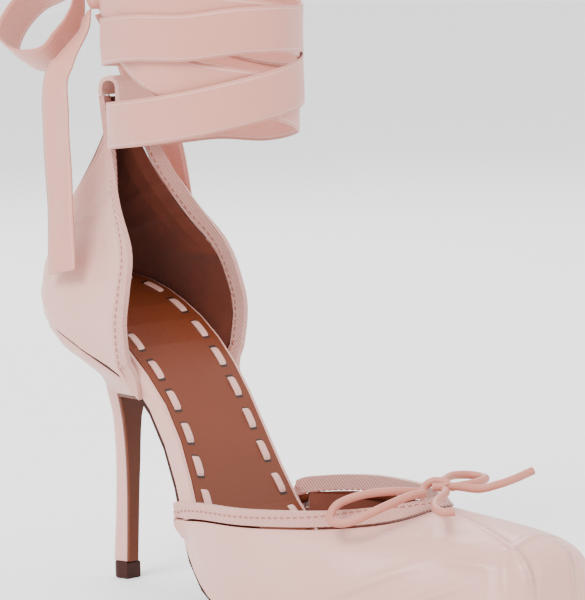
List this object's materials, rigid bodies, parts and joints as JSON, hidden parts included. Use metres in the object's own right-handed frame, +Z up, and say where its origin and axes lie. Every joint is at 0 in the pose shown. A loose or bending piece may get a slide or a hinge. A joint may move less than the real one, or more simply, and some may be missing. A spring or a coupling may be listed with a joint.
{
  "type": "lace-up high heel pump",
  "caption": "Satin pump with a slim high heel, a square toe, an open waist, a ribbon wound above the heel tab and a leather bow on the vamp.",
  "frame": {"origin": "middle of the heel tip's flat underside, on the floor", "axes": "+X from the heel to the toe, +Y to the inner side of the foot, +Z up from the floor"},
  "size_m": [0.2405, 0.0912, 0.2234],
  "materials": {
    "sole_leather": "dark brown smooth sole leather",
    "satin": "dusty pink satin with a soft sheen",
    "footbed_leather": "brown smooth leather",
    "binding": "ribbed pink binding",
    "breast_leather": "brown smooth leather",
    "tip_rubber": "dark brown hard rubber",
    "ribbon": "dusty pink satin ribbon",
    "bow_leather": "dusty pink thin leather"
  },
  "bodies": {
    "root": {"outsole": "sole_leather", "insole_board": "satin", "footbed": "footbed_leather", "vamp": "satin", "vamp_binding": "binding", "quarter": "satin", "quarter_binding_outer": "binding", "quarter_binding_inner": "binding", "tab_fold": "satin", "heel": "satin", "heel_breast": "breast_leather", "heel_tip": "tip_rubber", "ankle_ribbon": "ribbon", "ribbon_knot": "ribbon", "ribbon_outer_loop": "ribbon", "ribbon_inner_loop": "ribbon", "ribbon_outer_end": "ribbon", "ribbon_inner_end": "ribbon", "vamp_bow_knot": "bow_leather", "vamp_bow_outer_loop": "bow_leather", "vamp_bow_inner_loop": "bow_leather", "vamp_bow_outer_end": "bow_leather", "vamp_bow_inner_end": "bow_leather"}
  },
  "joints": []
}
